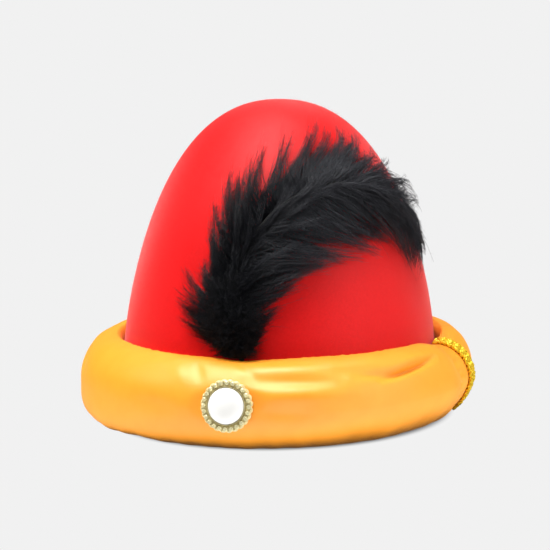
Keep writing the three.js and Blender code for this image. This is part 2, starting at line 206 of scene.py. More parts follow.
def stations(table, share):
    """A smooth line through a table's rows, at shares from 0 to 1 of its length."""
    table = np.asarray(table, float)
    place = np.clip(share, 0, 1) * (len(table) - 1)
    i = np.minimum(place.astype(int), len(table) - 2)
    t = (place - i)[..., None]
    a, b, c, d = (table[np.clip(i + k, 0, len(table) - 1)] for k in (-1, 0, 1, 2))
    return 0.5 * (2 * b + (c - a) * t + (2 * a - 5 * b + 4 * c - d) * t**2 + (3 * b - a - 3 * c + d) * t**3)


def waves(p, size, seed):
    """Smooth random numbers of about -1 to 1 over points, with bumps of about a size."""
    rng = np.random.default_rng(seed)
    terms, total = 10, 0
    for _ in range(terms):
        direction = unit(rng.normal(size=3)) * (2 * math.pi / size) * rng.uniform(0.6, 1.5)
        total = total + np.sin(p @ direction + rng.uniform(0, 2 * math.pi))
    return total / math.sqrt(terms)


# ---- Making meshes ----


def new_mesh(name, points, groups, material, smooth=True):
    """A mesh of points and faces, with one array of faces for each number of corners."""
    points = np.asarray(points, float).reshape(-1, 3)
    groups = [np.asarray(group) for group in groups]
    corners = np.concatenate([group.ravel() for group in groups]).astype(np.int32)
    counts = np.concatenate([np.full(len(group), group.shape[1]) for group in groups])
    mesh = bpy.data.meshes.new(name)
    mesh.vertices.add(len(points))
    mesh.vertices.foreach_set("co", points.ravel())
    mesh.loops.add(len(corners))
    mesh.loops.foreach_set("vertex_index", corners)
    mesh.polygons.add(len(counts))
    mesh.polygons.foreach_set("loop_start", (np.cumsum(counts) - counts).astype(np.int32))
    mesh.update(calc_edges=True)
    mesh.polygons.foreach_set("use_smooth", np.full(len(counts), smooth))
    mesh.materials.append(SHADES[material])
    piece = bpy.data.objects.new(name, mesh)
    bpy.context.scene.collection.objects.link(piece)
    return piece


def grid_faces(rows, columns, wrap_rows=False, wrap_columns=False):
    """Quads over a grid of points that are numbered row by row."""
    i = np.arange(rows if wrap_rows else rows - 1)[:, None]
    j = np.arange(columns if wrap_columns else columns - 1)
    near, far, ahead = i * columns, (i + 1) % rows * columns, (j + 1) % columns
    return joined(near + j, far + j, far + ahead, near + ahead).reshape(-1, 4)


def ring_skin(name, loops, material):
    """A closed skin over loops of points that run right round the hat."""
    return new_mesh(name, loops, [grid_faces(*loops.shape[:2], True, True)], material)


def slab(name, outer, inner, material):
    """A thin closed piece between an outer and an inner grid of points."""
    loops = np.concatenate([outer, inner[:, ::-1]], 1)
    rows, columns = loops.shape[:2]
    j = np.arange(columns // 2 - 1)
    start = joined(j, j + 1, columns - 2 - j, columns - 1 - j)
    end = (start + (rows - 1) * columns)[:, ::-1]
    faces = np.concatenate([grid_faces(rows, columns, False, True), start, end])
    return new_mesh(name, loops, [faces], material)


def tubes(name, paths, radii, normals, sides, material, flatten=1):
    """Closed tubes along paths (tube, step, point), with a radius at each step. Flatten is each
    section's thickness along the normals, as a share of its width."""
    along = unit(np.gradient(paths, axis=1))
    up = unit(normals - along * np.sum(normals * along, -1, keepdims=True))
    across = np.cross(up, along)
    turn = (2 * math.pi * np.arange(sides) / sides)[:, None]
    ring = across[:, :, None] * np.cos(turn) + up[:, :, None] * np.sin(turn) * flatten
    count, steps = paths.shape[:2]
    points = paths[:, :, None] + ring * np.broadcast_to(radii, (count, steps))[..., None, None]
    base = (np.arange(count) * steps * sides)[:, None, None]
    i = (np.arange(steps - 1) * sides)[:, None]
    j = np.arange(sides)
    k = (j + 1) % sides
    walls = joined(i + j, i + k, i + sides + k, i + sides + j) + base[..., None]
    first = base[:, 0] + j[::-1]
    last = base[:, 0] + (steps - 1) * sides + j
    return new_mesh(name, points, [walls.reshape(-1, 4), np.concatenate([first, last])], material)


def spikes(name, roots, tips, width, material):
    """Thin closed three-sided pyramids from roots to tips."""
    along = unit(tips - roots)
    a = unit(np.cross(along, (0.31, 0.52, 0.79)))
    b = np.cross(along, a)
    turn = (2 * math.pi * np.arange(3) / 3)[:, None]
    ring = roots[:, None] + (a[:, None] * np.cos(turn) + b[:, None] * np.sin(turn)) * width / 2
    points = np.concatenate([ring, tips[:, None]], 1)
    faces = np.array([(0, 1, 3), (1, 2, 3), (2, 0, 3), (2, 1, 0)])
    first = 4 * np.arange(len(roots))[:, None, None]
    return new_mesh(name, points, [(first + faces).reshape(-1, 3)], material)


def lathe(name, profile, sides, material, lobes=0):
    """A turned piece on the brooch's axis. The profile holds (radius, height, lobe depth) from the
    axis at the back to the axis in front, and lobes is how many times the rim goes in and out."""
    profile = np.asarray(profile, float)
    angle = 2 * math.pi * np.arange(sides)[:, None] / sides
    inside = profile[1:-1]
    radius = inside[:, 0] - inside[:, 2] * (1 - np.abs(np.sin(angle * lobes / 2)))
    ring = joined(radius * np.cos(angle), radius * np.sin(angle), inside[:, 1])
    columns = len(inside)
    last, back_pole = columns - 1, sides * columns
    points = np.concatenate([ring.reshape(-1, 3), [(0, 0, profile[0, 1]), (0, 0, profile[-1, 1])]])
    start = columns * np.arange(sides)
    ahead = np.roll(start, -1)
    caps = [(back_pole, ahead, start), (back_pole + 1, start + last, ahead + last)]
    ends = np.concatenate([joined(*cap) for cap in caps])
    return new_mesh(name, on_brooch(points), [grid_faces(sides, columns, True), ends], material)


def finish(piece, body, *nodes, slot=None):
    """What every piece says: the body it rides on and the CAD nodes that it stands for. Its slot is not
    used.
    """
    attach(piece, body)
    if nodes:
        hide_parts(*nodes)


# ---- Materials ----

SHADES = {}  # every material by its slot's name


class Shade:
    """A material's node tree with a Principled shader at its end."""

    def __init__(self, name, colour, roughness, **values):
        SHADES[name] = bpy.data.materials.new(name)
        SHADES[name].use_nodes = True
        self.tree = SHADES[name].node_tree
        self.shader = self.tree.nodes["Principled BSDF"]
        self.set("Base Color", (*colour, 1))
        self.set("Roughness", roughness)
        for key, value in values.items():
            self.set(key.replace("_", " ").title().replace("Ior", "IOR"), value)

    def fill(self, socket, value):
        """Gives a socket a value, or links another node's output to it."""
        if hasattr(value, "node"):
            self.tree.links.new(value, socket)
        else:
            socket.default_value = value

    def set(self, socket, value):
        self.fill(self.shader.inputs[socket], value)

    def add(self, kind, *values, **inputs):
        """A new node, with its sockets filled in order or by name."""
        node = self.tree.nodes.new(kind)
        for socket, value in zip(node.inputs, values):
            self.fill(socket, value)
        for key, value in inputs.items():
            self.fill(node.inputs[key], value)
        return node

    def smooth_range(self, value, *limits):
        """Maps a value smoothly from the first two limits to the last two."""
        node = self.add("ShaderNodeMapRange", value, *limits)
        node.interpolation_type = "SMOOTHSTEP"
        return node.outputs["Result"]

    def place(self, stretch=(1, 1, 1)):
        """Places on the object in metres, squeezed along each axis."""
        where = self.add("ShaderNodeTexCoord").outputs["Object"]
        return self.add("ShaderNodeMapping", Vector=where, Scale=stretch).outputs["Vector"]

    def noise(self, scale, stretch=(1, 1, 1), **values):
        where = self.place(stretch)
        return self.add("ShaderNodeTexNoise", Vector=where, Scale=scale, **values).outputs["Fac"]

    def colour(self, fac, *stops):
        """Colours that follow a factor, through stops of (position, colour)."""
        node = self.add("ShaderNodeValToRGB", Fac=fac)
        elements = node.color_ramp.elements
        while len(elements) < len(stops):
            elements.new(0.5)
        for element, (position, colour) in zip(elements, stops):
            element.position = position
            element.color = (*colour, 1)
        self.set("Base Color", node.outputs["Color"])

    def math(self, operation, a, b=0):
        node = self.add("ShaderNodeMath", a, b)
        node.operation = operation
        return node.outputs[0]

    def roughen(self, fac, low, high):
        self.set("Roughness", self.math("ADD", self.math("MULTIPLY", fac, high - low), low))

    def bump(self, height, distance, strength):
        node = self.add("ShaderNodeBump", Height=height, Distance=distance, Strength=strength)
        self.set("Normal", node.outputs["Normal"])


def felt():
    s = Shade("red_felt", (0.64, 0.004, 0.005), 0.5, sheen_weight=0.5, sheen_roughness=0.34,
              sheen_tint=(1, 0.45, 0.43, 1), specular_ior_level=0.2)
    mottle = s.noise(700, Detail=5, Roughness=0.65)
    s.colour(mottle, (0.3, (0.6, 0.003, 0.004)), (0.7, (0.69, 0.006, 0.007)))
    fibres = s.noise(1500, Detail=3, Roughness=0.6, Distortion=2.5)
    s.bump(s.math("ADD", s.math("MULTIPLY", mottle, 0.6), fibres), 0.35 * MM, 0.3)


def satin():
    s = Shade("gold_satin", (0.86, 0.305, 0.014), 0.36, sheen_weight=0.1, sheen_roughness=0.3,
              sheen_tint=(1, 0.75, 0.35, 1), specular_ior_level=1, specular_tint=(1, 0.93, 0.7, 1))
    slub = s.noise(90, Detail=4, Roughness=0.55)
    s.colour(slub, (0.25, (0.84, 0.285, 0.011)), (0.75, (0.88, 0.315, 0.018)))
    threads = s.noise(260, Detail=2, stretch=(1, 1, 9))
    s.roughen(threads, 0.41, 0.52)
    s.bump(s.math("ADD", threads, s.noise(1800, Detail=1)), 0.06 * MM, 0.35)


def scaled(colour, share):
    return tuple(min(share * c, 1) for c in colour)


def woven(name, colour, roughness=0.8, pitch=0.6 * MM, depth=0.12 * MM, **values):
    """Cloth with a plain weave of a thread pitch, a little uneven in colour."""
    s = Shade(name, colour, roughness, **values)
    uneven = s.noise(220, Detail=4)
    s.colour(uneven, (0.25, scaled(colour, 0.7)), (0.75, scaled(colour, 1.25)))
    heights = []
    for axis in "XZ":
        wave = s.add("ShaderNodeTexWave", Vector=s.place(), Scale=0.3 / pitch, Distortion=0.6, Detail=1)
        wave.bands_direction = axis
        heights.append(wave.outputs["Fac"])
    s.bump(s.math("MULTIPLY", *heights), depth, 0.6)


def grained(name, colour, roughness, grain=900, depth=0.03 * MM, spread=0.15, **values):
    """Metal, pearl, horn or feather: an even colour with fine grain in tone, gloss and relief."""
    s = Shade(name, colour, roughness, **values)
    fine = s.noise(grain, Detail=3)
    s.colour(fine, (0.3, scaled(colour, 1 - spread)), (0.7, scaled(colour, 1 + spread)))
    s.roughen(fine, roughness * 0.85, min(roughness * 1.15, 1))
    s.bump(fine, depth, 0.5)


def plume():
    """Black barbs, glossy along their length, that turn bluish grey towards the tip: partly their own
    colour, partly painted sheen.
    """
    s = Shade("plume", (0.002, 0.0024, 0.0042), 0.4, specular_ior_level=0.35)
    fine, tone = s.noise(500, Detail=3), s.noise(150, Detail=3, stretch=(0.4, 1, 1))
    along = s.smooth_range(s.add("ShaderNodeSeparateXYZ", s.place()).outputs["X"], 0, 60 * MM, 0, 1)
    # The bluish grey towards the tip is partly the feather's own colour and partly painted sheen.
    tip_tint_and_sheen = s.math("MULTIPLY", along, s.math("ADD", s.math("MULTIPLY", tone, 1.3), 0.15))
    s.colour(tip_tint_and_sheen, (0, (0.002, 0.0024, 0.0042)), (1, (0.048, 0.049, 0.056)))
    s.roughen(fine, 0.34, 0.48)
    s.bump(fine, 0.03 * MM, 0.5)


felt()
satin()
woven("buckram", (0.72, 0.69, 0.62), pitch=1.6 * MM, depth=0.3 * MM)
woven("lining_cloth", (0.02, 0.02, 0.023), 0.45, 0.35 * MM, 0.05 * MM)
woven("sweatband_ribbon", (0.015, 0.015, 0.018), 0.7, 0.5 * MM)
woven("bias_tape", (0.4, 0.015, 0.02), 0.85, 0.5 * MM)
woven("wadding", (0.88, 0.87, 0.84), 1, 2 * MM)
woven("stem_tape", (0.012, 0.012, 0.012), 0.85, 0.8 * MM)
woven("label_tape", (0.85, 0.85, 0.82), 0.5, 0.3 * MM, 0.04 * MM)
woven("thread", (0.75, 0.42, 0.06), 0.6, 0.4 * MM)
grained("metallic_braid", (0.98, 0.62, 0.03), 0.3, 1600, metallic=0.5)
plume()
grained("plume_down", (0.002, 0.0022, 0.0035), 0.55, 500, specular_ior_level=0.3)
grained("quill", (0.01, 0.009, 0.008), 0.6, 400, specular_ior_level=0.2)
grained("gilt_metal", (0.72, 0.62, 0.31), 0.32, 700, metallic=0.3)
grained("pearl", (0.72, 0.71, 0.685), 0.16, 120, 0.02 * MM, 0.03, coat_weight=0.6)
grained("rhinestone", (0.72, 0.66, 0.38), 0.1, 300, 0, 0.2, metallic=0.3, coat_weight=1)


# ---- Camera, lights and stage ----


def aimed(data, place, aim):
    """A camera or a lamp at a place, pointed at an aim."""
    thing = bpy.data.objects.new(data.name, data)
    thing.location = place
    thing.rotation_euler = (Vector(aim) - thing.location).to_track_quat("-Z", "Y").to_euler()
    bpy.context.scene.collection.objects.link(thing)
    return thing


def add_camera():
    data = bpy.data.cameras.new("camera")
    data.lens, data.sensor_width = 129.8, 36
    data.clip_end = 40
    place, aim = (0.3148, -1.0977, 0.2262), (-0.0027, -0.0022, 0.0788)
    bpy.context.scene.camera = aimed(data, place, aim)


def add_light(name, place, size, watts, shine=False):
    data = bpy.data.lights.new(name, "AREA")
    data.shape = "RECTANGLE"
    data.size, data.size_y = size
    data.energy = watts
    aimed(data, place, (0, 0, 0.08)).visible_glossy = shine


PAPER = 0.88  # how bright the paper looks
BOUNCE, CARD_WIDTH = 2.4, 0.11  # how bright the card is that throws light up at the roll, and its width
CARD_SIDES = 96
AMBIENT = 0.1  # the light that comes from all round
STAGE = 12  # half the width, and the height, of the paper room


def paper_shade(name, glow):
    """Paper that glows evenly by itself, and doesn't catch the lamps' light."""
    return Shade(name, (0, 0, 0), 1, specular_ior_level=0,
                 emission_color=(1, 1, 1, 1), emission_strength=glow)


def shade_contact(paper):
    """Takes the glow off the paper right under the hat, where the lamps wouldn't reach it."""
    across = (1 / (HALF_WIDTH + ROLL_CROWN), 1 / (HALF_DEPTH + ROLL_CROWN), 0)
    distance = paper.add("ShaderNodeVectorMath", paper.place(across))
    distance.operation = "LENGTH"
    paper.set("Emission Strength", paper.smooth_range(distance.outputs["Value"], 1, 1.09, 0.2, PAPER))


def add_stage():
    shade_contact(paper_shade("floor_paper", PAPER))
    paper_shade("wall_paper", PAPER)
    paper_shade("card_paper", BOUNCE)
    square = ((-1, -1), (1, -1), (1, 1), (-1, 1))
    ground = [(x * STAGE, y * STAGE, 0) for x, y in square]
    floor = new_mesh("floor", ground, [[(0, 1, 2, 3)]], "floor_paper")
    corners = [(x * STAGE, y * STAGE, z * STAGE) for z in (-0.01, 1) for x, y in square]
    walls = [(0, 1, 5, 4), (1, 2, 6, 5), (2, 3, 7, 6), (3, 0, 4, 7), (4, 5, 6, 7), (3, 2, 1, 0)]
    backdrop = new_mesh("backdrop", corners, [walls], "wall_paper")
    ring = roll_point(all_round(CARD_SIDES), [[ROLL_WIDTH, ROLL_WIDTH + CARD_WIDTH]], 0.5 * MM)
    card = new_mesh("bounce_card", ring, [grid_faces(CARD_SIDES, 2, True)], "card_paper")
    card.visible_camera = False
    floor.visible_diffuse = backdrop.visible_diffuse = False
    for paper in (floor, backdrop, card):
        paper.visible_glossy = paper.visible_shadow = False
    scene = bpy.context.scene
    scene.world = bpy.data.worlds.new("world")
    scene.world.use_nodes = True
    light = scene.world.node_tree.nodes["Background"]
    light.inputs["Color"].default_value = (AMBIENT, AMBIENT, AMBIENT, 1)
    scene.view_settings.view_transform = "Standard"
    add_light("key", (-1.4, -0.5, 1), (0.7, 0.7), 23)
    add_light("overhead", (-0.08, -0.22, 1.2), (0.76, 1), 26, shine=True)
    add_light("fill", (1.5, -0.2, 0.5), (1, 1.4), 17)
    add_light("rim", (1.1, 0.55, 0.9), (0.8, 0.8), 4)


# ---- Crown ----

FIBRES = 16000  # in the felt's nap


def add_crown():
    top, ups, downs = 0.9995, 90, 30
    azimuth = all_round(240)
    up, down = np.linspace(0, top, ups), np.linspace(top, 0, downs)
    outer = dome_point(azimuth, up)
    outer += dome_normal(azimuth, up) * (waves(outer, 70 * MM, 3) * 0.3 * MM)[..., None]
    inner = dome_point(azimuth, down, FELT)
    loops = np.concatenate([outer[:, :1], outer, inner, inner[:, -1:]], 1)
    loops[:, [0, -1], 2] = FOOT
    finish(ring_skin("crown", loops, "red_felt"), "hat", "crown_felt")


def add_nap():
    """The felt's loose surface fibres, bent over in every direction."""
    rng = np.random.default_rng(11)
    azimuth = rng.uniform(0, 360, FIBRES)
    z = rng.uniform(ROLL_TOP - ROLL_DROP, HEIGHT - 0.3 * MM, FIBRES)
    rise = dome_rise(z)
    normal = dome_normal(azimuth, rise)
    roots = dome_point(azimuth, rise) - normal * 0.4 * MM
    lean = unit(np.cross(normal, unit(rng.normal(size=(FIBRES, 3)))))
    length = rng.uniform(0.9, 1.8, FIBRES)[:, None] * MM
    tips = roots + (lean + normal * rng.uniform(0.5, 1.1, FIBRES)[:, None]) * length
    finish(spikes("crown_nap", roots, tips, 0.06 * MM, "red_felt"), "hat")


# ---- Padded roll ----

ROUNDS = 288
UNDER, BULGE, OVER, WALL = 3, 23, 5, 4  # points of the section on each stretch
SLACK = 2.6  # how much fuller (mm) the roll's shoulders are on the side away from the braid


def roll_section():
    """The roll's surface as a grid round the hat, and each column's angle on the section: -90
    underneath, 90 on top and 180 on the wall side."""
    azimuth = all_round(ROUNDS)
    under = np.linspace(CREASE_GAP, ROLL_CROWN, UNDER + 1)[:-1] + 0 * azimuth
    degrees = np.linspace(-90, 90, BULGE)
    turn = np.linspace(90, 180, OVER + 1)[1:]
    out, z = bulge(azimuth, degrees)
    over_out, over_z = over_top(azimuth, turn)
    down = np.linspace(1, 0, WALL + 2)[1:-1]
    wall_out = CREASE_GAP + (over_out[:, -1:] - CREASE_GAP) * down**3
    outs = np.concatenate([under, out, over_out, wall_out], 1)
    heights = np.concatenate([0 * under, z, over_z, over_z[:, -1:] * down], 1)
    angle = np.concatenate([np.full(UNDER, -90), degrees, turn, np.full(WALL, 180)])
    return roll_point(azimuth, outs, heights), azimuth, angle


def braid_azimuth(angle):
    """Where the middle of the braid lies at an angle of the roll's section."""
    return BRAID_AZIMUTH + BRAID_SKEW * (np.clip(90 - angle, 0, None) / (90 - BRAID_LAST)) ** 2


def pinched(azimuth, angle):
    """How much the braid holds the satin: 1 under the braid, 0 away from it."""
    across = np.abs(from_azimuth(azimuth, braid_azimuth(angle)))
    return 1 - eased((across - 4.2) / 5)


def simulate_cloth(piece, held, growth, pressure, frames, most):
    """Runs Blender's cloth on a piece and gives its new points, each moved by a distance at most.
    Held vertices stay, and growth is how much wider than the piece the cloth was cut."""
    start = np.empty(len(piece.data.vertices) * 3)
    piece.data.vertices.foreach_get("co", start)
    piece.vertex_groups.new(name="held").add(np.flatnonzero(held).tolist(), 1.0, "REPLACE")
    cloth = piece.modifiers.new("cloth", "CLOTH")
    settings = cloth.settings
    settings.vertex_group_mass = "held"
    settings.quality = 5
    settings.mass = 0.15
    settings.shrink_min = -growth
    settings.bending_stiffness = 6
    settings.use_pressure = True
    settings.uniform_pressure_force = pressure
    settings.effector_weights.gravity = 0
    cloth.collision_settings.use_collision = False
    scene = bpy.context.scene
    cloth.point_cache.frame_start, cloth.point_cache.frame_end = 1, frames
    for number in range(1, frames + 1):
        scene.frame_set(number)
    moved = np.empty_like(start)
    result = piece.evaluated_get(bpy.context.evaluated_depsgraph_get())
    result.data.vertices.foreach_get("co", moved)
    piece.modifiers.remove(cloth)
    scene.frame_set(1)
    shift = (moved - start).reshape(-1, 3)
    length = np.linalg.norm(shift, axis=1, keepdims=True)
    return start.reshape(-1, 3) + shift * np.minimum(1, most / np.maximum(length, 1e-9))


def uneven(shift, azimuth):
    """What is left of a shift once the part that is the same all round the hat is taken away."""
    for direction in (wall_normal(azimuth), np.array([0, 0, 1])):
        along = np.sum(shift * direction, -1, keepdims=True)
        shift = shift - along.mean(0) * direction
    return shift


def smoothed(grid, times):
    """Evens out a grid that closes on itself both ways."""
    for axis in (0, 1) * times:
        grid = (np.roll(grid, 1, axis) + 2 * grid + np.roll(grid, -1, axis)) / 4
    return grid


def doubled(grid, axis):
    """A grid that closes on itself, with a smooth new point between each two along an axis."""
    ahead = np.roll(grid, -1, axis)
    between = (9 * (grid + ahead) - np.roll(grid, 1, axis) - np.roll(grid, -2, axis)) / 16
    shape = list(grid.shape)
    shape[axis] *= 2
    return np.stack([grid, between], axis + 1).reshape(shape)


def surface_normals(grid):
    """Outward normals of a grid that closes on itself both ways."""
    ahead = np.roll(grid, -1, 0) - np.roll(grid, 1, 0)
    up = np.roll(grid, -1, 1) - np.roll(grid, 1, 1)
    return unit(np.cross(ahead, up))


def ridge(azimuth, angle, start, end, width):
    """A soft ridge from one (azimuth, section angle) to another: 1 on its crest, 0 away from it."""
    scale = np.array([2.1, 0.4])  # mm along the roll and round its section for each degree
    a, b = np.array(start) * scale, np.array(end) * scale
    p = joined(start[0] + from_azimuth(azimuth, start[0]), angle) * scale
    share = np.clip((p - a) @ (b - a) / ((b - a) @ (b - a)), 0, 1)
    away = np.linalg.norm(p - a - share[..., None] * (b - a), axis=-1)
    return np.exp(-((away / width) ** 2)) * (0.2 + 0.8 * np.sin(np.pi * np.clip(share, 0.04, 0.96)))


# Folds of the satin: from and to (azimuth, section angle), then width and height in mm.
FOLDS = [
    ((-44, 33), (-20, 50), 2.1, -4.2), ((-51, 41), (-36, 40), 2.4, -1.7),
    ((-38, 50), (-23, 62), 3, 0.9), ((-60, 52), (-42, 46), 3.4, -1),
    ((-80, 0), (-62, -6), 5, -1.3), ((-114, 6), (-98, 0), 5, -0.8),
    ((-80, 24), (-52, 20), 4.4, 1.7), ((-82, 42), (-56, 38), 3.4, -1.1),
    ((-84, 60), (-58, 56), 4.4, 1.1), ((-98, 74), (-93, 36), 3, -0.7),
    ((-104, 62), (-98, 36), 4, 0.7), ((-84, 74), (-78, 40), 2.6, -0.8),
    ((-126, 62), (-108, 70), 3.5, -0.7), ((-150, 30), (-118, 50), 6, -0.6),
    ((24, 30), (52, 52), 3, -2.2), ((70, 20), (96, 44), 4, -1.5),
    ((92, 56), (112, 66), 3, -1.3), ((118, 46), (140, 24), 3.5, -1.9),
    ((128, 6), (154, -4), 4, -1), ((148, 54), (172, 64), 3, -1.4),
    ((160, 18), (186, 42), 5, -1.1), ((194, 44), (216, 22), 3.4, -1.6),
    ((40, -40), (80, -22), 5, -0.8), ((110, -20), (150, -44), 5, -0.8),
]


def press_brooch(points):
    """Presses the roll flat under the brooch, with a pit where its shank is sewn in."""
    disc, edge, pit, pit_depth, blend = 14.6 * MM, 36 * MM, 2.6 * MM, 5.4 * MM, 0.5 * MM
    local = points - BROOCH_FLOOR
    height = local @ BROOCH_AXIS
    away = np.linalg.norm(local - height[..., None] * BROOCH_AXIS, axis=-1)
    seat = 2.4 * MM * eased((away - disc) / (edge - disc))
    floor = seat - pit_depth * (1 - eased((away - pit) / pit))
    pressed = -blend * np.logaddexp(-height / blend, -floor / blend)
    near = (np.abs(height) < 12 * MM) & (away < edge)
    return points + (np.where(near, pressed, height) - height)[..., None] * BROOCH_AXIS


def shape_satin(points, azimuth, angle):
    """Adds what holds and pulls the satin: gathers, folds, the plume's dip and the braid's pinch."""
    normals = surface_normals(points)
    free = eased((angle + 80) / 30) * (1 - eased((angle - 120) / 40))
    lift = waves(points, 52 * MM, 21) * 0.3 + waves(points, 24 * MM, 22) * 0.06
    turn = np.radians(azimuth)
    shoulders = np.sin(np.radians(2 * np.clip(angle, -90, 90))) ** 2
    lift = lift + SLACK * np.clip(-np.cos(turn), 0, 1) * shoulders
    for centre, seed in ((104, 31), (-84, 32)):
        rng = np.random.default_rng(seed)
        gathers = 0
        for count in (61, 83, 109, 137):
            gathers = gathers + np.sin(count * turn + rng.uniform(0, 6)) / 2
        near = np.exp(-(((angle - centre) / 13) ** 2))
        lift = lift + 0.16 * gathers * near * (0.7 + 0.5 * np.sin(5 * turn + seed))
    for start, end, width, height in FOLDS:
        lift = lift + height * ridge(azimuth, angle, start, end, width)
    across = np.abs(from_azimuth(azimuth, braid_azimuth(angle)))
    lift = lift + 0.4 * np.sin(angle * 0.3 + 1) * np.exp(-(((across - 7.5) / 3) ** 2))
    lift = lift * (1 - pinched(azimuth, angle))
    points = points + normals * (lift * free)[..., None] * MM
    dip = plume_weighs(azimuth) * eased((angle - 35) / 50)
    points[..., 2] -= PLUME_DIP * dip
    return points


def add_roll():
    points, azimuth, angle = roll_section()
    roll = ring_skin("padded_roll", points, "gold_satin")
    pinch = pinched(azimuth, angle)
    held = (angle <= -82) | (angle > 140) | (pinch > 0.9)
    moved = simulate_cloth(roll, held.ravel(), 0.02, 1, 16, 1.2 * MM).reshape(points.shape)
    points = points + uneven(smoothed(moved - points, 3), azimuth) * (1 - pinch)[..., None]
    bpy.data.objects.remove(roll)
    for _ in range(2):
        angle = np.stack([angle, (angle + np.append(angle[1:], 180)) / 2], 1).ravel()
        points = doubled(points, 1)
    azimuth = all_round(2 * ROUNDS)
    points = doubled(points, 0)
    points = press_brooch(shape_satin(points, azimuth, angle))
    points[..., 2] = np.maximum(points[..., 2], 0)
    roll = ring_skin("padded_roll", points, "gold_satin")
    finish(roll, "hat", "roll_cover", "roll_wadding")


# ---- Braid ----

STRANDS, PLIES = 7, 2
BRAID_PERIOD = 30 * MM  # along the braid, for a strand to cross over and come back
PLY_RADIUS, PLY_TWIST = 0.62 * MM, 4.5 * MM


def add_braid():
    steps = 300
    degrees = np.linspace(BRAID_LAST, BRAID_FIRST, steps)

    def on_roll(azimuth, lift):
        side = bulge(azimuth, np.minimum(degrees, 90), -lift)
        top = over_top(azimuth, np.maximum(degrees, 90), -lift)
        out, z = np.where(degrees > 90, top, side)
        return roll_point(azimuth, out, z)

    middle = on_roll(braid_azimuth(degrees), 0)
    along = np.concatenate([[0], np.cumsum(np.linalg.norm(np.diff(middle, axis=0), axis=1))])
    half = BRAID_WIDTH / 2 - 1.3 * MM
    per_degree = math.radians(1) * (HALF_DEPTH + ROLL_WIDTH)
    phase = 2 * math.pi * (along / BRAID_PERIOD + np.arange(STRANDS)[:, None] / STRANDS)
    swing = 2 / math.pi * np.arcsin(np.sin(phase) * 0.985)
    weave = np.cos(STRANDS * (phase - math.pi / 2)) * np.clip(2.5 * np.cos(phase), -1, 1)
    azimuth = braid_azimuth(degrees) + swing * half / per_degree
    lift = BRAID_LIFT + 0.9 * MM + weave * 0.5 * MM
    lines = on_roll(azimuth, lift)
    above = on_roll(azimuth, lift + MM)
    normals = unit(above - lines)
    across = np.cross(normals, unit(np.gradient(lines, axis=1)))
    paths = []
    for ply in range(PLIES):
        twist = 2 * math.pi * (along / PLY_TWIST + ply / PLIES) + np.arange(STRANDS)[:, None]
        offset = normals * np.sin(twist)[..., None] + across * np.cos(twist)[..., None]
        paths.append(lines + offset * PLY_RADIUS * 0.8)
    paths, normals = np.concatenate(paths), np.concatenate([normals] * PLIES)
    braid = tubes("braid_strands", paths, PLY_RADIUS, normals, 6, "metallic_braid")
    finish(braid, "hat", "roll_braid")


# ---- Plume ----

BARB_STEPS = 9
# Each group of barbs: seed, tufts, barbs in a tuft, how far along the quill they sweep forward, how
# far they reach towards the vane's edge, and their heights (mm) off the felt halfway and at the tip.
BARBS = {
    "outer": (5, 136, 23, (0.05, 0.17), (0.78, 1.22), (5, 16), (1.6, 9)),
    "inner": (6, 78, 28, (0.08, 0.22), (0.82, 1.2), (5, 16), (1.6, 9)),
    "cover": (7, 70, 20, (0.10, 0.22), (-0.7, 0.75), (10, 17), (8, 15)),
}

# How far the barbs stand off the felt along the quill. They lie down over the curl and at its tip.
STAND = [(0, 1), (0.58, 1), (0.68, 0.4), (0.82, 0.35), (0.9, 1), (0.97, 0.8), (1.06, 0.35)]
ON_CHART = np.array([0.55, 1])  # degrees round the hat and mm of height for 1 mm each way


def quill_at(share):
    return stations(QUILL_LINE, share)


def edge_at(outer, share):
    """The outline of a vane, drawn out past its tip where the share is over 1."""
    share = np.asarray(share)
    edge = stations(OUTER_EDGE if outer else INNER_EDGE, share)
    return edge + np.clip(share - 1, 0, 0.16)[..., None] * np.array([6, -30])


